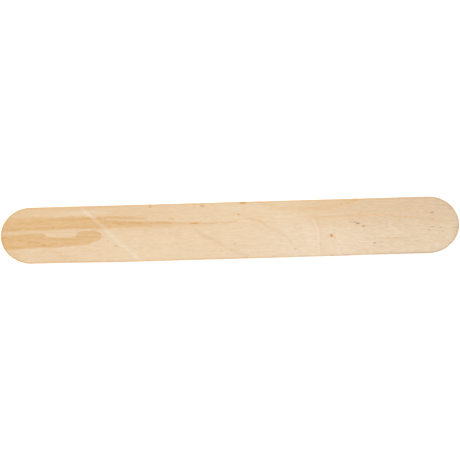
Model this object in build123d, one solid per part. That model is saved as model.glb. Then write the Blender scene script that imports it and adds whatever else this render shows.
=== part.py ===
from build123d import *
import os

# A wooden tongue depressor of the adult size, in one piece, lying flat on its underside.
# It is stamped from a flat sheet of peeled birch, with a full round at each end,
# and is then tumbled until the sharp rims of both faces are worn round.
# The origin is the centre of the underside. +X runs along the blade, +Y across it,
# and +Z out of the upper face.

# Driving dimensions, in millimetres.
blade_length = 152.4  # from tip to tip
blade_width = 18.9  # from one straight side to the other
blade_thickness = 1.6  # of the sheet that the blade is stamped from
rim_radius = 0.45  # that tumbling leaves on the rim of each face
flat_edge = 0.2  # least height of flat edge left between the two worn rims

# Name of the single piece.
blade_node = "blade"


def blade_outline():
    """Plan form of the stamp: two parallel sides joined by a full round at each end."""
    end_radius = blade_width / 2
    side_end = blade_length / 2 - end_radius
    with BuildSketch() as outline:
        with BuildLine():
            right_side = Line((-side_end, -end_radius), (side_end, -end_radius))
            left_side = Line((side_end, end_radius), (-side_end, end_radius))
            TangentArc(right_side @ 1, left_side @ 0, tangent=right_side % 1)
            TangentArc(left_side @ 1, right_side @ 0, tangent=left_side % 1)
        make_face()
    return outline.sketch


def stamped_blank():
    """The blade as the stamp leaves it, with square rims and its underside at Z = 0."""
    return extrude(blade_outline(), amount=blade_thickness)


def tumbled(blank):
    """The blank with the rims of its two broad faces worn round, and the wall between them flat."""
    broad_faces = blank.faces().filter_by(Axis.Z)
    rims = broad_faces.edges()
    widest_rim = (blade_thickness - flat_edge) / 2
    return fillet(rims, min(rim_radius, widest_rim))


blade = tumbled(stamped_blank())
blade.label = blade_node

os.makedirs("parts", exist_ok=True)
export_step(blade, f"parts/{blade_node}.step")
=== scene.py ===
# %% [markdown]
# # A wooden tongue depressor
# A tongue depressor is a flat blade of birch. A log is turned against a long knife, which peels
# a thin sheet off it. Blades with round ends are stamped out of the dried sheet, and they tumble
# together in a drum until no sharp rim is left.
# This lesson models one blade at its real size, gives it a birch finish made of nothing but
# maths, and sets it on a white table under a soft light.
# The blade's size isn't chosen here. It comes from a CAD model, which is loaded first and stays
# the measure of everything. Blender works in metres, and a blade is easier to think about in
# millimetres, so one name says how long a millimetre is.

# %% Load the CAD model
import bmesh
import bpy
import math
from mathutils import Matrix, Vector


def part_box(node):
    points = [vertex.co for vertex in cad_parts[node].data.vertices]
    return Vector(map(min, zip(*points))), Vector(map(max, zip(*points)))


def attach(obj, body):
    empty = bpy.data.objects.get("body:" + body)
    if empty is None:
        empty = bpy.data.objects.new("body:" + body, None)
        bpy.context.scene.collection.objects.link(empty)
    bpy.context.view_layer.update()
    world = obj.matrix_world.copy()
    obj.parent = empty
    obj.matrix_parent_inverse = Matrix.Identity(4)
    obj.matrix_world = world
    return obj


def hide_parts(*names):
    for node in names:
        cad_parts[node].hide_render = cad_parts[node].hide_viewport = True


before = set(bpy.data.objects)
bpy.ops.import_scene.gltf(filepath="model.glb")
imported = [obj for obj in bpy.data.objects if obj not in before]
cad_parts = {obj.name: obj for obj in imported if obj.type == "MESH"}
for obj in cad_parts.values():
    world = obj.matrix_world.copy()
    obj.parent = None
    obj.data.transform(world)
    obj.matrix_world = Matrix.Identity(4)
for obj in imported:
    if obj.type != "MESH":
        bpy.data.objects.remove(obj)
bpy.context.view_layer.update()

mm = 0.001
blade_low, blade_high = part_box("blade")
blade_length = (blade_high.x - blade_low.x) / mm
blade_width = (blade_high.y - blade_low.y) / mm
blade_thickness = (blade_high.z - blade_low.z) / mm
print(f"CAD blade: {blade_length:.1f} x {blade_width:.1f} x {blade_thickness:.1f} mm")

# %% [markdown]
# The rest of the blade's plan follows from those three numbers. The stamp cuts each end as a
# full half round, and the drum then wears its shoulders more than its tip. So the worn end is
# a little longer than half the width, and the straight sides stop a little earlier.
# The rim radius is what the drum wears off the sharp rims of both faces.

# %% The plan of the blade
half_width = blade_width / 2
end_length = 10.2
end_stretch = end_length / half_width
side_end = blade_length / 2 - end_length
rim_radius = 0.45
print(f"ends {end_length} mm long and {blade_width:.1f} mm wide")
print(f"straight sides {2 * side_end:.1f} mm long")

# %% [markdown]
# ## The camera
# The blade lies flat and is seen from straight above, almost as long as the picture is wide.
# A long lens keeps both ends free of distortion. The picture is 460 pixels wide and the blade
# covers almost 459 of them, which gives the width of the view and so the camera's height. The
# height is counted from where the blade is widest, just under the rim of its upper face.
# The blade rises a little to the right in the picture. The blade itself stays square to the
# axes, so the camera is turned the other way instead.

# %% Place the camera
picture_side = 460
blade_in_pixels = 458.9
blade_centre_in_picture = (229.92, 230.42)
blade_tilt = math.radians(1.615)
lens = 100
sensor = 36

pixel = blade_length / blade_in_pixels
seen_width = picture_side * pixel
widest_outline = blade_thickness - rim_radius
camera_height = widest_outline + seen_width * lens / sensor
aim_right = (picture_side / 2 - blade_centre_in_picture[0]) * pixel
aim_up = (blade_centre_in_picture[1] - picture_side / 2) * pixel
camera_x = aim_right * math.cos(blade_tilt) + aim_up * math.sin(blade_tilt)
camera_y = -aim_right * math.sin(blade_tilt) + aim_up * math.cos(blade_tilt)

bpy.ops.object.select_all(action="DESELECT")
bpy.ops.object.camera_add(
    location=(camera_x * mm, camera_y * mm, camera_height * mm),
    rotation=(0, 0, -blade_tilt),
)
camera = bpy.context.object
camera.name = "camera_above_table"
camera.data.lens = lens
camera.data.sensor_width = sensor
camera.data.dof.use_dof = False
bpy.context.scene.camera = camera
print(f"camera {camera_height:.0f} mm above the table, with a view {seen_width:.1f} mm wide")

# %% [markdown]
# ## Maths on a material's wires
# A finish in Blender is a web of nodes. Building it node by node hides the idea, so the web is
# written here as ordinary Python. A Wire is one socket of the web, and adding or multiplying
# two wires puts in the Math node that does it. Everything else comes from one method, node,
# which takes a kind of node, its settings and what goes into its sockets. Two kinds are needed
# so often that they get methods of their own: sums on places and colours, and a soft change from
# one value to another.

# %% Wires and recipes
class Wire:
    """One output socket of a web of nodes, which sums can be written on."""

    def __init__(self, recipe, socket):
        self.recipe = recipe
        self.socket = socket

    def __add__(self, other):
        return self.recipe.sum_of("ADD", self, other)

    def __sub__(self, other):
        return self.recipe.sum_of("SUBTRACT", self, other)

    def __rsub__(self, other):
        return self.recipe.sum_of("SUBTRACT", other, self)

    def __mul__(self, other):
        return self.recipe.sum_of("MULTIPLY", self, other)

    __radd__ = __add__
    __rmul__ = __mul__


class Recipe:
    """A web of nodes that makes one finish."""

    def __init__(self, tree):
        self.tree = tree
        self.tree.nodes.clear()

    def node(self, kind, settings=None, sockets=None, output=0):
        """Puts in one node, with its settings first, and returns a wire from its output."""
        made = self.tree.nodes.new(kind)
        for name, value in (settings or {}).items():
            if name == "points":
                self.draw_curve(made.mapping, value)
            else:
                setattr(made, name, value)
        for name, value in (sockets or {}).items():
            if isinstance(value, Wire):
                self.tree.links.new(value.socket, made.inputs[name])
            else:
                made.inputs[name].default_value = value
        if not made.outputs:
            return made
        if isinstance(output, tuple):
            return [Wire(self, made.outputs[name]) for name in output]
        return Wire(self, made.outputs[output])

    def draw_curve(self, mapping, points):
        """Lays a curve through points that run from 0 to 1 in both directions."""
        line = mapping.curves[0].points
        line[0].location = points[0]
        line[1].location = points[-1]
        for point in points[1:-1]:
            line.new(*point)
        mapping.update()

    def sum_of(self, operation, first, second):
        """Puts in the Math node of one sum, difference or product."""
        return self.node("ShaderNodeMath", {"operation": operation}, {0: first, 1: second})

    def vector_sum(self, operation, sockets, output=0):
        """Puts in the Vector Math node of one sum on places or colours."""
        return self.node("ShaderNodeVectorMath", {"operation": operation}, sockets, output)

    def change(self, value, start, end, low, high):
        """Goes softly from low where value is start to high where it is end."""
        return self.node(
            "ShaderNodeMapRange",
            {"interpolation_type": "SMOOTHSTEP"},
            {"Value": value, "From Min": start, "From Max": end, "To Min": low, "To Max": high},
        )


sums = [name.strip("_") for name in vars(Wire) if name.endswith(("add__", "sub__", "mul__"))]
print("sums that a wire knows:", ", ".join(sums))

# %% [markdown]
# ## Light
# The blade lies on a white table in soft light from all round, as on a page of a catalogue.
# The sky of the scene does most of that work. It is bright near the horizon, which fills the
# sides of the blade and lets the table fade into it, and it is dimmer overhead, which leaves
# room for one large lamp. A photograph of a studio could light it too, but that is one more
# file. The lamp hangs beyond the blade and a little to the left, and it gives the worn rims a
# light side and a dark side.
# Heights in the sky run from 0 at the horizon to 1 straight overhead.

# %% Light the scene
scene = bpy.context.scene
scene.view_settings.view_transform = "Standard"

sky = bpy.data.worlds.new("studio_sky")
scene.world = sky
sky.use_nodes = True
sky_recipe = Recipe(sky.node_tree)
sky_direction = sky_recipe.node("ShaderNodeTexCoord", output="Generated")
sky_height = sky_recipe.node("ShaderNodeSeparateXYZ", None, {0: sky_direction}, "Z")
wall_light, wall_top = 0.84, 0.1
overhead_light, overhead_start = 0.44, 0.7
horizon_glow, glow_start, glow_top = 0.18, 0.03, 0.2
sky_light = sky_recipe.change(sky_height, wall_top, overhead_start, wall_light, overhead_light)
glow = sky_recipe.change(sky_height, glow_start, glow_top, horizon_glow, 0)
sky_background = sky_recipe.node(
    "ShaderNodeBackground", None, {"Color": (1, 1, 1, 1), "Strength": sky_light + glow}
)
sky_recipe.node("ShaderNodeOutputWorld", None, {"Surface": sky_background})

lamp_place = (-0.12, 0.22, 1.15)
lamp_width = 0.9
lamp_power = 10.5
bpy.ops.object.light_add(type="AREA", location=lamp_place)
lamp = bpy.context.object
lamp.name = "large_soft_lamp"
lamp.rotation_euler = Vector(lamp_place).to_track_quat("Z", "Y").to_euler()
lamp.data.shape = "SQUARE"
lamp.data.size = lamp_width
lamp.data.energy = lamp_power
print(f"sky from {overhead_light} overhead to {wall_light + horizon_glow:.2f} at the horizon")
print(f"lamp of {lamp_power} W, {lamp_width} m wide")

# %% [markdown]
# ## Table
# The table is one flat disc, large enough to lie under every view. It could be left to the lamp
# alone, but then a grey shadow would lie round the blade. So the disc shines a little by itself,
# and more so further off, where the lamp doesn't reach.

# %% Lay the table
table_radius = 3
table_corners = 96
near_shine, near_distance = 0.3, 0.3
far_shine, far_distance = 0.5, 1.5
table_tone = 0.93

bpy.ops.object.select_all(action="DESELECT")
bpy.ops.mesh.primitive_circle_add(vertices=table_corners, radius=table_radius, fill_type="NGON")
table_top = bpy.context.object
table_top.name = "white_table"
table_white = bpy.data.materials.new("white_table")
table_white.use_nodes = True
table_recipe = Recipe(table_white.node_tree)
table_place = table_recipe.node("ShaderNodeTexCoord", output="Object")
from_blade = table_recipe.vector_sum("LENGTH", {0: table_place}, "Value")
shine = table_recipe.change(from_blade, near_distance, far_distance, near_shine, far_shine)
table_shader = table_recipe.node(
    "ShaderNodeBsdfPrincipled",
    None,
    {"Base Color": (table_tone, table_tone, table_tone, 1), "Roughness": 0.7,
     "Emission Color": shine, "Emission Strength": 1.0},
)
table_recipe.node("ShaderNodeOutputMaterial", None, {"Surface": table_shader})
table_top.data.materials.append(table_white)
print(f"table {2 * table_radius} m wide, which shines {near_shine} by the blade and {far_shine} far off")

# %% [markdown]
# ## The blade's section
# The blade could be a box with a Bevel modifier, but that leaves long thin faces on the round
# ends. It is built here as the outline suggests. The section of half the blade is drawn once,
# turned through half a circle to make one round end, drawn out straight to make the sides, and
# turned again to close the other end.
# The section starts as a plane that stands across the blade where the round begins, between
# the middle of the blade and its side. Edges are then picked by where their two ends lie. Two
# places that are closer than a hair count as the same.

# %% Draw half of the section
rim_steps = 6
face_steps = 60
wall_steps = 4
hair = 1e-6 * blade_length * mm


def pick(wanted):
    """Selects the edges of the blade whose two ends answer to wanted, and nothing else."""
    bpy.ops.mesh.select_mode(type="EDGE")
    bpy.ops.mesh.select_all(action="DESELECT")
    shape = bmesh.from_edit_mesh(bpy.context.edit_object.data)
    picked = 0
    for edge in shape.edges:
        if wanted(edge.verts[0].co, edge.verts[1].co):
            edge.select_set(True)
            picked += 1
    bmesh.update_edit_mesh(bpy.context.edit_object.data)
    return picked


bpy.ops.object.select_all(action="DESELECT")
section_centre = (side_end * mm, half_width / 2 * mm, blade_thickness / 2 * mm)
bpy.ops.mesh.primitive_plane_add(
    size=half_width * mm, location=section_centre, rotation=(math.pi / 2, 0, math.pi / 2)
)
blade = bpy.context.object
blade.name = "wooden_blade"
blade.data.name = "wooden_blade"
bpy.ops.object.transform_apply(location=True, rotation=True, scale=True)
bpy.ops.object.mode_set(mode="EDIT")
bpy.ops.mesh.select_all(action="SELECT")
bpy.ops.transform.resize(
    value=(1, 1, blade_thickness / half_width), center_override=section_centre
)

pick(lambda a, b: min(a.y, b.y) > hair)
bpy.ops.mesh.bevel(
    offset=rim_radius * mm, offset_type="OFFSET", segments=rim_steps, affect="VERTICES"
)
bpy.ops.mesh.select_all(action="SELECT")
bpy.ops.mesh.delete(type="ONLY_FACE")
pick(lambda a, b: max(a.y, b.y) < hair)
bpy.ops.mesh.delete(type="EDGE")
pick(lambda a, b: abs(a.z - b.z) < hair and abs(a.y - b.y) > rim_radius * mm)
bpy.ops.mesh.subdivide(number_cuts=face_steps - 1)
pick(lambda a, b: abs(a.y - b.y) < hair and abs(a.z - b.z) > rim_radius * mm)
bpy.ops.mesh.subdivide(number_cuts=wall_steps - 1)
edges_in_section = pick(lambda a, b: True)
print(f"{edges_in_section} edges in half of the section")

# %% [markdown]
# ## The first round end
# Spin turns the section about an upright line through the centre of the round. Every step of
# the turn leaves a copy of the points in the middle, so those are merged into one point.
# The half round is then drawn out along the blade, as far as the drum has worn its shoulders.

# %% Spin the first round end
end_steps = 120
merge_reach = 1e-7
bpy.ops.mesh.spin(
    steps=end_steps, angle=math.pi, center=(side_end * mm, 0, 0), axis=(0, 0, 1)
)
bpy.ops.mesh.select_all(action="SELECT")
bpy.ops.mesh.remove_doubles(threshold=merge_reach)
bpy.ops.transform.resize(value=(end_stretch, 1, 1), center_override=(side_end * mm, 0, 0))
print(f"first end: {len(bmesh.from_edit_mesh(blade.data).faces)} faces")

# %% [markdown]
# ## The second round end
# Both ends of the blade are alike, so the second is a copy of the first, turned half way round
# the middle of the blade.

# %% Copy the round end to the other tip
bpy.ops.mesh.select_all(action="SELECT")
bpy.ops.mesh.duplicate()
bpy.ops.transform.rotate(value=math.pi, orient_axis="Z", center_override=(0, 0, 0))
print(f"both ends: {len(bmesh.from_edit_mesh(blade.data).faces)} faces")

# %% [markdown]
# ## The straight sides
# Each end is open where its round begins. Bridging the two openings makes the straight sides,
# and cutting the bridge into short lengths gives its surface points to move, because relief can
# only be pressed into a surface that has them. The shell is then closed, and its normals are
# made to point outwards.

# %% Bridge the two ends
side_cuts = 177
pick(lambda a, b: abs(abs(a.x) - side_end * mm) < hair and abs(a.x - b.x) < hair)
bpy.ops.mesh.bridge_edge_loops(number_cuts=side_cuts, interpolation="LINEAR")
bpy.ops.mesh.select_all(action="SELECT")
bpy.ops.mesh.normals_make_consistent(inside=False)
closed_shape = bmesh.from_edit_mesh(blade.data)
open_edges = sum(1 for edge in closed_shape.edges if len(edge.link_faces) != 2)
print(f"whole blade: {len(closed_shape.faces)} faces, {open_edges} open edges")
print(f"volume {closed_shape.calc_volume() / mm ** 3:.1f} cubic mm")
bpy.ops.object.mode_set(mode="OBJECT")
bpy.ops.object.shade_smooth()

# %% [markdown]
# ## Paint that says where
# The drum doesn't wear the blade evenly, so each change of its shape needs a map of where it
# works and how much. In Blender such a map is a vertex group, a weight from 0 to 1 at every
# point, which is usually painted with a brush. Here a formula paints it, because most of the
# wear follows the outline, and how far in from the outline a place lies is easy to work out.

# %% Paint a vertex group by a formula
def weigh(name, weight_at):
    """Paints a vertex group from weight_at(x, y, z), with places in mm, and returns its name."""
    paint = blade.vertex_groups.new(name=name)
    painted = 0
    for vertex in blade.data.vertices:
        weight = weight_at(*(vertex.co / mm))
        if weight > 0:
            paint.add([vertex.index], min(weight, 1), "REPLACE")
            painted += 1
    print(f"{name}: {painted} of {len(blade.data.vertices)} points painted")
    return name


def ease(value, start, end):
    """0 before start and 1 past end, with a soft change between them."""
    share = min(max((value - start) / (end - start), 0), 1)
    return share * share * (3 - 2 * share)


def inset(x, y):
    """How far in from the outline of the plan a place is, in millimetres."""
    return half_width - math.hypot(max(abs(x) - side_end, 0) / end_stretch, y)


bpy.ops.object.select_all(action="DESELECT")
blade.select_set(True)
bpy.context.view_layer.objects.active = blade
print(f"the middle of the blade is {inset(0, 0):.2f} mm in from the outline")

# %% [markdown]
# ## The worn near side
# The far side of this blade is straight, but the near side is worn in towards both ends, by
# about a quarter of a millimetre at the left and a third of that at the right.
# A Displace modifier without a texture moves the surface by one distance, as much as the paint
# says, along the surface's own normals or along one axis. Here it moves the near half of the
# blade inwards, the more the nearer a point is to the side, so that the face isn't creased.

# %% Wear the near side in
near_side_wear = 0.27
left_wear = (-36, -60)
right_wear = (26, 60)
right_share = 0.35


def shift(group, distance, direction="NORMAL"):
    """Moves the painted surface by distance mm, where the paint is full."""
    shifter = blade.modifiers.new(group, "DISPLACE")
    shifter.direction = direction
    shifter.vertex_group = group
    shifter.strength = distance * mm
    shifter.mid_level = 0
    bpy.ops.object.modifier_apply(modifier=shifter.name)
    print(f"{group}: moved by up to {distance} mm")


def near_side_at(x, y, z):
    """How much of the near side's wear a place gets, most at the left end."""
    wear = ease(x, *left_wear) + right_share * ease(x, *right_wear)
    return wear * max(-y / half_width, 0)


shift(weigh("worn_near_side", near_side_at), near_side_wear, "Y")

# %% [markdown]
# ## Relief: fibres, worn rims and open end grain
# A peeled sheet of birch is never quite smooth. Fibres stand a hundredth of a millimetre proud
# of each other along the blade, the drum wears the rims unevenly, and the round ends, where the
# fibres are cut across, are rougher than the sides. A bump in the finish could fake all of
# this, but it would be missing from the mesh itself.
# The relief is made with Displace modifiers again, this time with a noise. Each one takes wood
# off, never adds it, so the blade can't outgrow its CAD size. An empty stretches the noise, long
# and thin along the fibres.

# %% Take wood off in lumps
fibre_depth, fibre_lump = 0.014, (11, 0.55, 0.5)
rim_depth, rim_lump = 0.05, (4, 4, 2)
end_depth, end_lump = 0.045, (3, 0.6, 0.5)


def take_off(group, depth, lump):
    """Takes up to depth mm off the painted surface, in lumps of the given x, y and z size."""
    stretcher = bpy.data.objects.new("noise_stretcher", None)
    bpy.context.collection.objects.link(stretcher)
    stretcher.scale = [side * mm for side in lump]
    bpy.context.view_layer.update()
    noise = bpy.data.textures.new(group, "CLOUDS")
    noise.noise_scale = 1
    noise.noise_depth = 2
    noise.noise_basis = "ORIGINAL_PERLIN"
    shaver = blade.modifiers.new(group, "DISPLACE")
    shaver.texture = noise
    shaver.texture_coords = "OBJECT"
    shaver.texture_coords_object = stretcher
    shaver.vertex_group = group
    shaver.strength = depth * mm
    shaver.mid_level = 1
    bpy.ops.object.modifier_apply(modifier=shaver.name)
    bpy.data.objects.remove(stretcher)
    bpy.data.textures.remove(noise)
    print(f"{group}: up to {depth} mm taken off")


def end_grain_at(x, y, z):
    """1 at the rim of the round ends, where the fibres are cut across."""
    return ease(abs(x), side_end + 3, side_end + 8) * ease(inset(x, y), 1, 0.2)


raised_fibres = weigh("raised_fibres", lambda x, y, z: ease(inset(x, y), 0.2, 1.2))
take_off(raised_fibres, fibre_depth, fibre_lump)
worn_rims = weigh("worn_rims", lambda x, y, z: ease(inset(x, y), 0.9, 0.1))
take_off(worn_rims, rim_depth, rim_lump)
end_grain = weigh("end_grain", end_grain_at)
take_off(end_grain, end_depth, end_lump)

# %% [markdown]
# ## Flecks pressed into the upper face
# No two blades are alike, and the marks are what makes this one itself. Birch is full of pith
# flecks, the small scars that a grub leaves under the bark. Some are brown, some rusty and some
# orange. They are a little softer than the wood, so the drum hollows them out.
# The flecks are listed once, in groups of one colour and one shape, which says how many times
# longer than wide they are. Each fleck is a place along and across, a length in millimetres and
# a strength from 0 to 1. The list presses the hollows here, and it colours the same flecks in
# the finish.

# %% List the flecks and press them in
fleck_depth = 0.03
fleck_edge, fleck_core = 0.7, 0.15
fleck_groups = [
    ("brown", 2.2, [
        (42.5, 1.15, 1.4, 0.9), (41.5, 1.6, 1.2, 0.6), (40.0, 1.75, 1.1, 0.4), (40.8, 2.5, 0.7, 0.25),
        (44.4, 0.2, 1.5, 0.7), (47.8, -5.5, 1.3, 0.6), (57.3, 1.0, 1.4, 0.12),
        (67.2, 4.15, 1.5, 0.66), (66.0, -1.7, 1.4, 0.4), (70.7, -2.2, 1.1, 0.3),
        (71.2, 6.4, 1.3, 0.25), (-38.0, -4.1, 1.2, 0.4), (-40.6, -2.4, 1.0, 0.25),
        (1.5, -4.35, 1.2, 0.33), (-3.2, -6.6, 1.2, 0.12), (4.0, 0.75, 1.4, 0.14),
        (16.8, -4.0, 1.0, 0.2), (36.0, -5.6, 1.4, 0.12), (60.8, 7.8, 1.8, 0.1),
        (-67.2, 4.2, 1.6, 0.2), (-19.4, 4.4, 1.6, 0.13),
    ]),
    ("brown", 6.5, [
        (42.6, -1.9, 3.0, 0.12), (44.9, -1.3, 2.0, 0.3), (49.8, -5.25, 2.4, 0.3),
        (54.0, -5.1, 2.0, 0.2), (65.2, 4.5, 1.6, 0.3), (67.3, -0.65, 2.4, 0.45),
        (69.8, -0.95, 1.8, 0.45), (69.0, -1.9, 2.8, 0.22), (75.0, -1.1, 2.8, 0.55),
        (75.0, -2.1, 2.0, 0.5), (74.5, -2.9, 1.6, 0.4), (73.2, 5.3, 2.2, 0.3),
        (69.6, 5.3, 1.4, 0.2), (62.3, -8.5, 1.8, 0.12), (62.6, -9.2, 4.0, 0.25),
        (57.0, -9.25, 3.4, 0.08), (38.5, -9.25, 3.2, 0.5), (32.0, 8.3, 2.6, 0.06),
        (-11.6, 2.7, 2.8, 0.06), (75.2, 2.35, 1.3, 0.12), (75.3, 1.7, 1.4, 0.15),
        (75.4, 1.05, 1.4, 0.4), (75.5, 0.4, 1.3, 0.35), (75.5, -0.25, 1.3, 0.35),
    ]),
    ("rust", 2.0, [
        (-9.0, 8.4, 1.8, 0.6), (-11.6, 8.75, 1.6, 0.2), (-58.8, 2.75, 1.2, 0.35),
        (-62.4, -0.9, 2.4, 0.15), (-58.4, -2.6, 2.0, 0.12),
        (-62.0, -3.3, 1.9, 0.45), (-66.5, -2.1, 1.6, 0.2), (-40.0, 2.5, 1.6, 0.18),
        (33.6, -9.2, 1.3, 0.3), (37.2, 7.7, 1.0, 0.3), (39.5, 8.1, 1.0, 0.25),
        (14.5, -9.2, 1.8, 0.15), (5.0, -9.2, 2.0, 0.15), (4.3, 9.18, 1.9, 1.0),
        (4.7, 9.08, 1.6, 1.0),
    ]),
    ("rust", 1.0, [
        (33.6, -2.65, 1.25, 0.9), (34.7, -3.2, 0.7, 0.3), (34.5, -1.8, 0.7, 0.25),
        (-26.2, 8.7, 0.9, 0.6), (21.5, -6.8, 0.9, 0.3),
    ]),
    ("orange", 2.0, [
        (-19.0, 4.35, 1.4, 0.3), (-20.2, 4.5, 1.0, 0.2), (-16.5, 4.4, 1.0, 0.12),
        (3.0, 5.2, 1.3, 0.6), (1.4, 5.3, 1.0, 0.25), (4.5, 9.18, 2.0, 0.6), (5.8, 8.72, 1.0, 0.15),
        (41.5, 8.9, 2.2, 0.32),
    ]),
    ("orange", 7.0, [
        (-11.8, 2.7, 3.6, 0.85), (-58.8, 5.1, 2.6, 0.2), (-33.0, 3.7, 2.4, 0.25),
        (-54.0, 5.3, 1.8, 0.2), (-63.5, 9.1, 4.5, 0.2),
    ]),
    ("pale", 2.2, [
        (75.4, 0.7, 1.4, 0.45), (75.3, -1.7, 0.9, 0.35), (74.8, 3.6, 0.9, 0.6), (74.9, 2.8, 1.0, 0.5),
        (74.2, 6.0, 0.8, 0.4), (73.2, 6.9, 0.8, 0.3),
    ]),
]


def hollow_at(x, y, z):
    """How deep a place lies in a fleck of the upper face, from 0 to 1."""
    if z < blade_thickness - rim_radius or inset(x, y) < rim_radius:
        return 0
    deepest = 0
    for _, aspect, group in fleck_groups:
        for fleck_x, fleck_y, length, strength in group:
            off_x = abs(x - fleck_x)
            if off_x < length:
                off = math.hypot(off_x, (y - fleck_y) * aspect)
                hollow = strength * ease(off, length * fleck_edge, length * fleck_core)
                deepest = max(deepest, hollow)
    return deepest


shift(weigh("fleck_hollows", hollow_at), -fleck_depth)

# %% [markdown]
# ## The slanting crease
# A pale crease runs slantwise over the left half, where the wet sheet was folded a little. It is
# a line through points, each a place across the blade and one along it, and it is pressed in
# like the flecks. The distance to a slanting line is shorter than the distance along the blade,
# by the cosine of the slant. The slant is the one in the middle of the crease, a little steeper
# than its mean.

# %% Press in the slanting crease
crease_depth = 0.02
crease_edge, crease_core = 0.6, 0.1
crease_middle, crease_reach = -40, 12
crease_line = [
    (-9.4, -30.3), (-8.6, -30.8), (-7.2, -32.1), (-5.6, -33.7), (-2.9, -37.0), (-1.8, -38.2),
    (0.3, -40.2), (1.5, -41.3), (2.8, -42.5), (4.0, -43.9), (5.0, -45.0), (6.6, -46.8),
    (7.8, -47.9), (9.4, -49.4),
]
crease_run_along, crease_run_across = 19.6, 18.0
crease_slope = math.cos(math.atan2(crease_run_along, crease_run_across))


def crease_at(x, y, z):
    """1 on the crease of the upper face and 0 past its soft edge."""
    if z < blade_thickness - rim_radius or abs(x - crease_middle) > crease_reach:
        return 0
    for (low_y, low_x), (high_y, high_x) in zip(crease_line, crease_line[1:]):
        if low_y <= y < high_y:
            line_x = low_x + (high_x - low_x) * (y - low_y) / (high_y - low_y)
            return ease(abs(x - line_x) * crease_slope, crease_edge, crease_core)
    return 0


shift(weigh("slanting_crease", crease_at), -crease_depth)

# %% [markdown]
# ## The birch finish
# Everything that follows is one finish, birch. It reads the place on the blade in millimetres:
# how far along, how far across and how high in the sheet.
# The layers of wood don't run quite straight up through the sheet. They lean, so what shows on
# the upper face comes out on the underside a little to the left and nearer. Reading the figure
# through that lean gives the underside a look of its own that still belongs to the top. The
# change from one face's look to the other's lies on the wall between their rims.

# %% Places on the blade
birch = bpy.data.materials.new("peeled_birch")
birch.use_nodes = True
recipe = Recipe(birch.node_tree)

lean_along = 3.0
lean_across = 0.5

in_metres = recipe.node("ShaderNodeTexCoord", output="Object")
in_mm = recipe.vector_sum("SCALE", {0: in_metres, "Scale": 1 / mm})
blade_along, blade_across, height = recipe.node(
    "ShaderNodeSeparateXYZ", None, {0: in_mm}, ("X", "Y", "Z")
)
depth_in_sheet = blade_thickness - height
along = blade_along + depth_in_sheet * lean_along
across = blade_across + depth_in_sheet * lean_across


def rise(value, start, end, top=1.0):
    """Goes softly from 0 where value is start to top where it is end."""
    return recipe.change(value, start, end, 0, top)


change_start, change_end = 0.6, 1.1
on_top = rise(height, change_start, change_end)
print(f"the underside's figure lies {blade_thickness * lean_along:.1f} mm to the left of the top's")

# %% [markdown]
# Fibres follow the growth of the tree, and here they sink a little to the right. A curve draws
# their course. Noise that is stretched along it looks like wood at any size: lumps many
# millimetres long and a fraction of one wide are fibres, and wider ones are the bands of growth.

# %% Noise stretched along the fibres
def share_of(run, start, end):
    """How far the run has come from start to end, from 0 to 1."""
    return recipe.node("ShaderNodeMapRange", None, {"Value": run, "From Min": start, "From Max": end})


def course(points, run=along):
    """Follows a line drawn through points, each a place on the run and a value there."""
    first, last = points[0][0], points[-1][0]
    values = [point[1] for point in points]
    low, high = min(values), max(values)
    drawn = [((r - first) / (last - first), (v - low) / (high - low)) for r, v in points]
    line = recipe.node("ShaderNodeFloatCurve", {"points": drawn}, {"Value": share_of(run, first, last)})
    return recipe.node("ShaderNodeMapRange", None, {"Value": line, "To Min": low, "To Max": high})


fibre_line = [(-76, 1.5), (-45, 1.3), (-5, -0.6), (30, -1.4), (78, -4.9)]
fibre_course = course(fibre_line)
fibre_place = recipe.node(
    "ShaderNodeCombineXYZ", None, {"X": along, "Y": across - fibre_course, "Z": height}
)


def figure(length, width, depth, detail=2.0, start=0.0):
    """Noise about 0.5 in lumps of the given size in mm. Another start gives other lumps."""
    stretched = recipe.node(
        "ShaderNodeMapping",
        None,
        {"Vector": fibre_place, "Location": (start, start, start),
         "Scale": (1 / length, 1 / width, 1 / depth)},
    )
    return recipe.node("ShaderNodeTexNoise", None, {"Vector": stretched, "Scale": 1.0, "Detail": detail})


fall = fibre_line[0][1] - fibre_line[-1][1]
print(f"fibres sink by {fall:.1f} mm from one tip to the other")

# %% [markdown]
# Colours are easier to pick as they are seen, from 0 to 255 on a screen. A paint that is to be
# seen as such a colour under this scene's light is that colour in linear light, less the veil
# of light that the surface mirrors, and divided by the strength of the light.

# %% Tones as they are seen
lit_by = 1.12
mirrored = 0.04


def tone(red, green, blue):
    """The paint that is seen as this screen colour on the blade's upper face."""
    paint = []
    for part in (red, green, blue):
        share = part / 255
        linear = share / 12.92 if share <= 0.04045 else ((share + 0.055) / 1.055) ** 2.4
        paint.append(max((linear - mirrored) / lit_by, 0))
    return (*paint, 1)


def lay(under, over, where):
    """Lays one colour over another, as thickly as where says."""
    return recipe.node("ShaderNodeMix", {"data_type": "RGBA"}, {0: where, 6: under, 7: over}, 2)


print("a white paint would be", [round(part, 3) for part in tone(255, 255, 255)])

# %% [markdown]
# ## Sapwood
# Most of the blade is sapwood. It is palest to the right of the middle and towards one side.
# It warms to honey at the left end and along the other side, and it greys towards the right
# end, where the sheet has picked up a little dust and damp.
# A colour ramp along the blade could do this, but the two sides change at different places. So
# a share of colour is drawn once for each side, and the two are blended across.

# %% Sapwood from end to end
def report(step):
    """Prints how far the web has grown."""
    print(f"{step}: {len(recipe.tree.nodes)} nodes so far")


sapwood = tone(239, 214, 181)
pale_cream = tone(240, 218, 191)
honey = tone(233, 202, 163)
dusky_pale = tone(231, 208, 180)
dusky_dark = tone(227, 200, 169)

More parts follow.
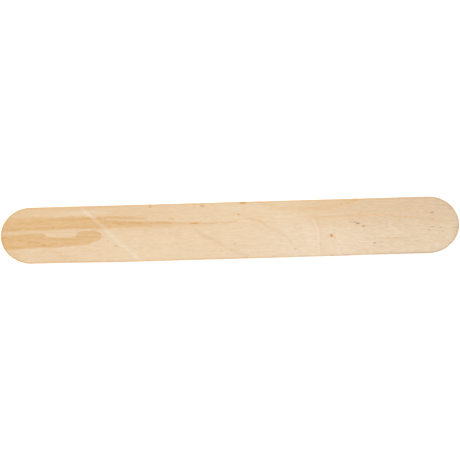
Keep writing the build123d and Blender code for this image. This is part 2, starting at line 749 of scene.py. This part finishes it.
upper_side = rise(across, -4, 7)
honey_below = course(
    [(-76, 0.85), (-64, 0.5), (-54, 0.45), (-44, 0.25), (-30, 0.15), (-10, 0.15), (4, 0.1), (16, 0)]
)
honey_above = course(
    [(-76, 1.0), (-44, 0.95), (-24, 0.8), (-14, 0.5), (-2, 0.3), (8, 0.2), (16, 0.12), (22, 0.25),
     (28, 0.7), (40, 0.9), (76, 1.0)]
)
honey_share = honey_below + (honey_above - honey_below) * upper_side
cream_share = course([(-20, 0), (0, 0.1), (12, 0.4), (22, 0.8), (40, 1.0), (48, 0.75), (60, 0.4)])
dusky_below = course([(38, 0), (48, 0.5), (60, 0.8)])
dusky_above = course([(28, 0), (48, 0.6), (66, 1)])
dusky_share = dusky_below + (dusky_above - dusky_below) * upper_side

cream_blotching, honey_blotching = 0.8, -0.7
blotches = figure(5, 1.3, 2, detail=3, start=11) - 0.5
wood = lay(sapwood, pale_cream, cream_share * (1 - upper_side) + blotches * cream_blotching)
wood = lay(wood, honey, honey_share + blotches * honey_blotching)
wood = lay(wood, lay(dusky_pale, dusky_dark, upper_side), dusky_share)
report("sapwood")

# %% [markdown]
# ## Heart stain
# Where the knife came near the heart of the log, the wood is stained. Two bands of it enter at
# the left end. The upper one thins out into a brown line, and the lower one ends in a rounded
# tongue. Each band is drawn by its two edges, with streaks of deeper orange inside it.

# %% Bands of heart stain
wobble_reach = 0.8
edge_wobble = (figure(4, 0.7, 2, detail=3) - 0.5) * wobble_reach
wobbly_across = across + edge_wobble


def between(lower_edge, upper_edge, softness):
    """1 between two lines that are drawn along the blade, with soft edges."""
    above_lower = rise(wobbly_across - course(lower_edge), -softness, softness)
    below_upper = rise(course(upper_edge) - wobbly_across, -softness, softness)
    return above_lower * below_upper


upper_band = between(
    [(-76, 1.6), (-62, 1.6), (-56, 1.95), (-48, 1.9), (-43, 1.75), (-36, 1.9), (-28, 2.0),
     (-22, 2.2), (-10, 2.3)],
    [(-76, 6.0), (-60, 6.2), (-50, 5.9), (-46, 5.7), (-42, 4.9), (-36, 4.3), (-28, 3.8),
     (-22, 3.4), (-16, 3.2), (-10, 3.0)],
    0.4,
) * course([(-76, 0.85), (-48, 0.9), (-36, 0.95), (-26, 0.8), (-21, 0.3), (-10, 0.15), (-4, 0)])
lower_band = between(
    [(-76, -4.8), (-72, -4.4), (-64, -4.1), (-57, -3.9), (-50, -3.5), (-47, -3.2), (-45, -2.6),
     (-43.4, -1.9), (-42.4, -0.7), (-42, 0.5)],
    [(-76, 0.5), (-73, 0.25), (-68, 0.7), (-63, 0.8), (-61.5, 0.4), (-60, -0.6), (-53, -0.8),
     (-51.5, -0.4), (-50.3, 0.6), (-49, 1.1), (-46, 1.3), (-44, 0.9), (-42.4, -0.7), (-42, -1.9)],
    0.22,
)
stain = tone(229, 191, 145)
deep_stain = tone(222, 177, 112)
tip_wash = rise(blade_along, -66, -76.2, 0.4)
stain_share = upper_band + lower_band + tip_wash
streak_strength = 0.7
streaks = rise(figure(2.2, 0.3, 1, detail=3, start=7), 0.42, 0.72)
wood = lay(wood, stain, stain_share)
wood = lay(wood, deep_stain, stain_share * streaks * streak_strength)
report("heart stain")

# %% [markdown]
# ## Orange streaks in the stain
# The bands of stain aren't even. Thin orange streaks run along their edges and through them, and
# they break off and start again. A noise could make such streaks, but not where they lie on this
# blade, so each is a stroke that is drawn through a few points. It has a strength and a half
# width, it is full over a fifth of that, and it fades at both ends. The same tool draws the brown
# lines, the growth lines and the knife marks, across the blade as well as along it.

# %% Draw strokes in the stain
stroke_core = 0.2


def size_of(value):
    """A value without its sign."""
    return recipe.node("ShaderNodeMath", {"operation": "ABSOLUTE"}, {0: value})


def stroke(strength, reach, points, run=along, beside=across, fade=1.5):
    """A soft line through points, with its strength on the line and 0 at its reach beside it."""
    distance = size_of(beside - course(points, run))
    start, end = points[0][0] - fade, points[-1][0] + fade
    full = 2 * fade / (end - start)
    ends = recipe.node(
        "ShaderNodeFloatCurve",
        {"points": [(0, 0), (full, 1), (1 - full, 1), (1, 0)]},
        {"Value": share_of(run, start, end)},
    )
    return rise(distance, reach, reach * stroke_core, strength) * ends


broken = rise(figure(1.6, 0.5, 1, start=2), 0.3, 0.55)
orange_strokes = (
    stroke(0.4, 0.8, [(-62, 5.0), (-55, 5.1), (-46, 5.0)], fade=4)
    + stroke(0.35, 0.7, [(-74, 4.0), (-67, 4.1), (-60, 3.9)], fade=3)
    + stroke(0.45, 0.6, [(-72, 2.3), (-58, 2.5), (-46, 2.4)], fade=3)
    + stroke(0.35, 0.6, [(-72, -0.2), (-69, -0.3), (-66, -0.6)])
    + stroke(0.3, 0.8, [(-51, 3.6), (-45, 3.5)], fade=3)
    + stroke(0.45, 0.9, [(-4.5, -74.8), (-1.5, -75.3), (0, -75.3)], blade_across, blade_along)
    + stroke(0.6, 0.4, [(-77, -0.2), (-73, -0.9), (-69, -1.5), (-64, -2.3)])
    + stroke(0.6, 0.35, [(-60, -1.1), (-56, -1.4), (-52, -1.5)])
    + stroke(0.5, 0.35, [(-75, -3.6), (-70, -3.5), (-64, -3.2), (-60, -3.4)])
    + stroke(0.4, 0.3, [(-49, 0.7), (-46, 0.8), (-44, 0.3)])
    + stroke(0.5, 0.35, [(-47, -0.9), (-44.5, -1.0), (-42.8, -1.0)])
)
report("orange strokes")

# %% [markdown]
# ## Brown lines
# To the right of the bands the stain runs out in brown lines. The lower one goes on as far as
# the middle of the blade.

# %% Draw the brown lines
brown_strokes = (
    stroke(0.55, 0.8, [(-43, 4.0), (-38, 3.7), (-34, 3.5), (-30, 3.3), (-26, 3.2), (-22, 3.1)], fade=3)
    + stroke(0.3, 0.4, [(-24, 3.4), (-20, 3.1), (-15, 2.9), (-11, 2.7)])
    + stroke(0.5, 0.42, [(-12, 2.7), (-8, 2.6), (-3, 2.65), (1, 2.8)])
    + stroke(0.55, 0.75, [(-47, 5.4), (-40, 5.4), (-35, 5.2), (-30, 4.9)], fade=3)
)
report("brown strokes")

# %% [markdown]
# ## Growth lines and painted shade
# The knife cuts through the yearly layers of the log at a slant, and each shows as a soft line
# that is a little warmer than the sapwood. Some swing across the blade in wide bows. A Wave
# texture would space them evenly, so they are strokes as well. Three that run straight across
# the fibres are painted shade beside the knife marks, which come later, and one short stroke is
# painted shade along the edge of a painted highlight. All these lines are whole, while the
# orange and the brown ones are broken up by a noise before they are laid on.

# %% Draw the growth lines and painted shade, and lay all strokes on
growth_and_shade_strokes = (
    stroke(0.3, 1.0, [(-10.8, 0.6), (-10, -1), (-8, -1.9), (-6, -2.8), (-4, -3.9), (-1, -5.8),
                     (1.5, -6.9), (4.5, -8.4)])
    + stroke(0.15, 1.0, [(-21, -0.2), (-18, -1.2), (-15.5, -2.4)])
    + stroke(0.45, 0.8, [(6.6, 3.7), (8.5, 3.4), (10.3, 2.7), (11.2, 2.1)])
    + stroke(0.25, 0.8, [(10.5, 2.6), (11.5, 1.8), (14, 0.0), (16.3, -1.05), (18.7, -2.7),
                        (20.3, -4.5), (21.2, -6.4)])
    + stroke(0.4, 0.6, [(31, 3.6), (36, 3.8), (46, 3.75), (53, 3.6), (57, 3.0), (62, 2.4),
                        (67, 1.7), (71, 0.9)], fade=4)
    + stroke(0.33, 1.3, [(11, 8.8), (16, 7.3), (22, 6.8), (31, 6.7), (35, 7.2), (38, 7.9),
                        (42, 9.2)])
    + stroke(0.3, 1.2, [(-24, 2.4), (-16, 2.3), (-8, 2.3)])
    + stroke(0.25, 0.9, [(-34, 1.4), (-29, 1.4), (-22, 1.9)], fade=3)
    + stroke(0.2, 1.2, [(-10.4, 0), (-8.5, -1.4), (-7, -2.2)])
    # Painted shade: three strokes across the fibres, beside the knife marks.
    + stroke(0.17, 0.7, [(-9, 30.0), (-3, 30.0), (0.5, 29.8), (1.6, 29.2), (3.9, 28.7)],
             blade_across, blade_along, 0.8)
    + stroke(0.12, 2.0, [(-9, 31.6), (-4, 31.5), (0.5, 31.2)], blade_across, blade_along)
    + stroke(0.2, 0.8, [(0.2, 29.7), (1.6, 29.3), (3.2, 28.9)], blade_across, blade_along, 0.6)
    + stroke(0.45, 0.4, [(50, -3.9), (53, -4.0), (57, -4.0)])
    # Painted shade along the right edge of the pale wedge, which is a painted highlight.
    + stroke(0.4, 0.35, [(54.5, 0.3), (55.8, -0.6), (57.2, -2.0)], fade=0.6)
    + stroke(0.35, 1.2, [(-61, -4.4), (-58, -5.6), (-55, -7.4)])
    + stroke(0.4, 1.1, [(-65, 8.9), (-56, 8.8), (-42, 9.0)], fade=4)
)
orange = tone(219, 169, 98)
brown = tone(219, 168, 104)
warm = tone(230, 190, 145)
wood = lay(wood, orange, orange_strokes * broken)
wood = lay(wood, brown, brown_strokes * broken)
# Warm growth lines, with painted shade among them.
wood = lay(wood, warm, growth_and_shade_strokes)
report("growth lines")

# %% [markdown]
# ## The pale crease
# The fibres in a crease are bruised and scatter the light, so it is paler than the wood beside
# it and hides the stain that it crosses. It follows the line that was pressed in, but not too
# neatly: a noise lets it wander, and its strength changes from one side to the other.

# %% Find the bruised fibres of the crease
bruise_edge, bruise_core = 0.95, 0.1
wander_reach = 1.1
least_crease, broken_crease = 0.7, 0.35
crease_strength = course(
    [(-9.4, 0.4), (-8.6, 0.75), (-7.0, 0.95), (-5.6, 0.8), (-4, 0.8), (-2, 0.65), (0.3, 0.6),
     (1.8, 0.35), (4, 0.3), (5.6, 0.5), (6.6, 0.75), (7.6, 0.5), (8.4, 0.2), (9.2, 0.1)], blade_across
)
wander = (figure(1.3, 1.0, 2, start=31) - 0.5) * wander_reach
crease_beside = size_of(blade_along - course(crease_line, blade_across) + wander) * crease_slope
crease = rise(crease_beside, bruise_edge, bruise_core) * crease_strength
crease = crease * (broken * broken_crease + least_crease)
report("crease")

# %% [markdown]
# ## Knife marks
# The knife left marks too, where it chattered: pale ripples that run straight across the fibres.
# A few pale strokes along them are fibres that were lifted, and one pale wedge near the right
# end is a painted highlight. A bump would hardly show them under so soft a light, so they are
# colour. The crease and all these marks lie on the upper face alone, so their strength is taken
# down to nothing towards the underside.

# %% Lay on the pale marks
def knife_mark(strength, reach, points):
    """A stroke whose points run across the blade, each a place across and one along."""
    return stroke(strength, reach, points, blade_across, blade_along, 0.8)


knife_marks = (
    knife_mark(0.6, 2.2, [(-9, 27.5), (-6, 27.2), (-3, 26.5), (-1.2, 25.9), (1, 25.2)])
    + knife_mark(0.6, 0.5, [(-9, 29.3), (-3, 29.3), (-1, 29.2), (0.8, 28.5), (2.4, 27.8)])
    + knife_mark(0.3, 0.35, [(-9, 25.6), (-4, 25.1), (-1, 24.2)])
    + knife_mark(0.3, 1.0, [(-9, 21.8), (-5, 21.3), (-2.5, 20.4), (0, 18.2)])
)
pale_strokes = (
    stroke(0.3, 0.4, [(31, 4.3), (34, 4.45), (36.5, 4.7)])
    + stroke(0.5, 0.35, [(50, -3.2), (54, -3.35), (59, -3.45)])
    + stroke(0.45, 0.35, [(42.5, -0.8), (45.5, -1.05), (46.3, -1.1)])
    + stroke(0.35, 1.0, [(-57, 6.5), (-54, 7.0), (-50, 7.2), (-45, 7.3), (-41, 7.3)], fade=2)
    # A painted highlight: the pale wedge near the right end.
    + stroke(0.55, 1.0, [(53.3, 0.1), (55, -1.2), (56.7, -2.3)], fade=0.9)
    + stroke(0.35, 0.3, [(40, -6.4), (44, -5.4), (47, -4.6)])
    + stroke(0.35, 1.3, [(56, -7.6), (62, -7.3), (69, -6.8)], fade=4)
)
# Bruised fibres and one painted highlight share this pale tone.
bruise_and_highlight = tone(242, 222, 196)
pale_marks = (crease + knife_marks + pale_strokes) * on_top
wood = lay(wood, bruise_and_highlight, pale_marks)
report("knife marks")

# %% [markdown]
# ## Where the rims are
# The stamp bruises the wood next to its cut and the drum burnishes it, so a thin darker line
# follows the whole outline. Part of that darkness is painted shade, where the rounded rim turns
# away from the light. Pointiness, which marks the sharp places of a mesh, would change with how
# fine the mesh is. The distance from the outline doesn't. It is the distance from the blade's
# middle line taken off half the width.
# The far side and the ends face the lamp. The line lies a little further in there, and its outer
# edge is a painted highlight. The near side turns away from the lamp, and its line is painted
# shade right out to the edge. The line lies further in where the near side is worn, too.

# %% Find the rims
line_in = 0.1
lamp_side_rim_in = 0.2
wear_times = 1.3
line_edge, line_core = 0.5, 0.1
highlight_edge, highlight_core, highlight_share = 0.3, 0.05, 0.6

past_side = recipe.sum_of("MAXIMUM", size_of(blade_along) - side_end, 0.0)
from_spine = recipe.node(
    "ShaderNodeCombineXYZ", None, {"X": past_side * (1 / end_stretch), "Y": blade_across}
)
from_outline = half_width - recipe.vector_sum("LENGTH", {0: from_spine}, "Value")
at_end = rise(past_side, 0.5, 6)
to_the_right = rise(blade_along, side_end - 1, side_end + 5)
to_the_left = rise(blade_along, -side_end + 3, -side_end - 3)

# 1 on the rims that face the lamp, the far side and the ends; 0 on the near side, whose rim line is
# painted shade.
rims_facing_lamp = rise(blade_across, -9.2, -6)
near_wear = (
    rise(blade_along, *left_wear, near_side_wear)
    + rise(blade_along, *right_wear, near_side_wear * right_share)
)
rim_place = from_outline - line_in - rims_facing_lamp * lamp_side_rim_in - near_wear * (1 - rims_facing_lamp) * wear_times
rim_line = rise(rim_place, line_edge, line_core)
# The outer edge of the rims facing the lamp is a painted highlight.
rim_line = rim_line * (1 - rise(from_outline, highlight_edge, highlight_core, highlight_share) * rims_facing_lamp)
report("rims found")

# %% [markdown]
# ## How dark the rims are
# The line isn't as dark all the way round. Four strengths, one for each side and each end, are
# drawn as courses and blended where they meet.

# %% Draw the strength of the rims
upper_rim = course(
    [(-70, 0.75), (-56, 0.6), (-20, 0.47), (5, 0.48), (9, 0.72), (14, 0.52), (24, 0.55), (37, 0.5),
     (41, 0.85), (46, 0.58), (66, 0.6)], blade_along
)
lower_rim = course(
    [(-72, 0.8), (-62, 0.6), (-50, 0.6), (-20, 0.55), (10, 0.5), (25, 0.36), (46, 0.33),
     (58, 0.55), (66, 0.55)], blade_along
)
side_rim = lower_rim + (upper_rim - lower_rim) * rise(blade_across, -1, 1)
right_rim = course(
    [(-9, 0.25), (-6, 0.3), (-3, 0.4), (-1, 0.5), (0.5, 0.3), (3, 0.28), (5, 0.48), (7, 0.6),
     (9, 0.52)], blade_across
)
left_rim = course(
    [(-9, 1.0), (-7.5, 0.6), (-4.5, 0.5), (-2, 0.85), (1, 0.95), (4.5, 0.65), (9, 0.75)],
    blade_across,
)
rim_strength = side_rim + (right_rim - side_rim) * to_the_right
rim_strength = rim_strength + (left_rim - rim_strength) * to_the_left
report("strength of the rims")

# %% [markdown]
# ## Rims and end grain
# The near rim is amber, the far one ochre, and at the right end both turn brown, one reddish and
# one greyish.
# Round the ends the fibres are cut across. Their open tubes take up dirt, so dark ticks reach a
# little way in from the tips.

# %% Paint the rims and the end grain
amber = tone(237, 185, 120)
ochre = tone(223, 180, 130)
red_brown = tone(207, 164, 122)
grey_brown = tone(196, 167, 135)
right_tone = lay(grey_brown, red_brown, rise(blade_across, 0, 4))
side_tone = lay(amber, ochre, rims_facing_lamp)
rim_tone = lay(side_tone, right_tone, rise(blade_along, 44, 58))
# The rim line is partly the rim's own bruised colour and partly painted shade.
wood = lay(wood, rim_tone, rim_line * rim_strength)

left_ticks, more_to_the_right = 0.25, 0.7
tick_strength = 0.3
tubes = rise(figure(5, 0.3, 0.3, start=17), 0.5, 0.68)
tick_reach = rise(from_outline, 1.4, 0.2) * at_end * (to_the_right * more_to_the_right + left_ticks)
grime = tone(170, 141, 111)
wood = lay(wood, grime, tubes * tick_reach * tick_strength)
report("rims and end grain")

# %% [markdown]
# ## The colour of the flecks
# A Voronoi texture could scatter flecks, but these have to lie in their hollows. So each fleck
# of the list becomes a soft oval. The place is stirred a little first, so that no oval is
# perfect, and it is squashed until the oval is a circle, which needs just a distance.
# A few pale ones at the right tip are dents that stayed clean. The underside gets the same
# flecks, fainter and turned half way round.

# %% Colour the flecks
stirs_per_mm = 1.6
stir_reach = (0.7, 0.35, 0)
underside_share = 0.55

stirred = recipe.node(
    "ShaderNodeTexNoise", None, {"Vector": in_mm, "Scale": stirs_per_mm, "Detail": 2.0}, "Color"
)
stir = recipe.vector_sum("SUBTRACT", {0: stirred, 1: (0.5, 0.5, 0.5)})
half_turn = on_top * 2 - 1
turned_place = recipe.node(
    "ShaderNodeCombineXYZ", None, {"X": blade_along * half_turn, "Y": blade_across * half_turn}
)
fleck_place = recipe.vector_sum("MULTIPLY_ADD", {0: stir, 1: stir_reach, 2: turned_place})


def flecks(aspect, group):
    """Soft ovals that are aspect times as long as wide, all in one mask."""
    squashed = recipe.vector_sum("MULTIPLY", {0: fleck_place, 1: (1, aspect, 0)})
    mask = 0.0
    for fleck_x, fleck_y, length, strength in group:
        middle = (fleck_x, fleck_y * aspect, 0)
        from_middle = recipe.vector_sum("DISTANCE", {0: squashed, 1: middle}, "Value")
        oval = rise(from_middle, length * fleck_edge, length * fleck_core, strength)
        mask = oval + mask
    return mask


fleck_tones = {
    "brown": grime,
    "rust": tone(210, 146, 80),
    "orange": tone(229, 157, 62),
    "pale": tone(240, 220, 196),
}
fleck_strength = on_top * (1 - underside_share) + underside_share
for colour, aspect, group in fleck_groups:
    wood = lay(wood, fleck_tones[colour], flecks(aspect, group) * fleck_strength)
    print(f"{len(group)} {colour} flecks, {aspect} times as long as wide")

# %% [markdown]
# ## Fibres and pores
# Seen close, birch is a bundle of fibres of slightly different tones, with fine short pores
# between them. Stretched noise in three sizes makes the fibres lighter and darker, and a broad
# one adds bands of growth. Another one, of which only the deepest valleys are kept, makes the
# pores, and the last lays on a thin tawny wash in patches. All this comes last, so that stain,
# flecks and rims show the fibres too.

# %% Fibres and pores
contrast, long_contrast, fine_contrast, growth_contrast = 0.24, 0.14, 0.14, 0.06
pore_darkness = 0.07
tawny_strength = 0.28

fibres = figure(1.7, 0.38, 0.4, detail=3)
long_fibres = figure(9, 0.3, 0.3, start=4)
fine_fibres = figure(1.5, 0.07, 0.1, start=3)
growth = figure(40, 1.7, 1.7, start=5)
pores = rise(figure(0.9, 0.05, 0.08, detail=1, start=9), 0.36, 0.28)
liveliness = course([(-76, 1.1), (-40, 0.8), (30, 0.8), (44, 1.3), (66, 1.5)])
fibre_tone = (
    1 + ((fibres - 0.5) * contrast + (long_fibres - 0.5) * long_contrast) * liveliness
    + (fine_fibres - 0.5) * fine_contrast + (growth - 0.5) * growth_contrast
)
brightness = fibre_tone - pores * pore_darkness
wood = recipe.vector_sum("SCALE", {0: wood, "Scale": brightness})
tawny = tone(227, 190, 138)
tawny_share = rise(figure(3.2, 0.8, 0.8, start=21), 0.4, 0.75, tawny_strength)
wood = lay(wood, tawny, tawny_share)
report("fibres and pores")

# %% [markdown]
# ## The look of the finish
# Wood is matt. The finest fibres stand a few thousandths of a millimetre proud, which is finer
# than the mesh's own faces, so a bump gives them their relief. Burnished rims shine a little
# more, and open end grain a little less.

# %% Join the finish
fibre_height, pore_depth = 0.008, 0.01
wood_roughness, roughness_contrast = 0.62, 0.2
rim_polish, end_grain_roughness = 0.12, 0.2

fibre_relief = fibres * fibre_height + fine_fibres * fibre_height - pores * pore_depth
bump = recipe.node("ShaderNodeBump", None, {"Strength": 1.0, "Distance": mm, "Height": fibre_relief})
roughness = (
    wood_roughness + (fibres - 0.5) * roughness_contrast - rim_line * rim_polish
    + at_end * rim_line * end_grain_roughness
)
shader = recipe.node(
    "ShaderNodeBsdfPrincipled", None, {"Base Color": wood, "Roughness": roughness, "Normal": bump}
)
recipe.node("ShaderNodeOutputMaterial", None, {"Surface": shader})
blade.data.materials.clear()
blade.data.materials.append(birch)
print(f"birch is {len(recipe.tree.nodes)} nodes")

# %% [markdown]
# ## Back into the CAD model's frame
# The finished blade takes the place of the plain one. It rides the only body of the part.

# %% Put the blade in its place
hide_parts("blade")
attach(blade, "root")
print(f"{blade.name} takes its place with {len(blade.data.polygons)} faces")

# %% [markdown]
# ## The size
# Relief only ever takes wood off, so the finished blade has to lie inside the CAD model's box.
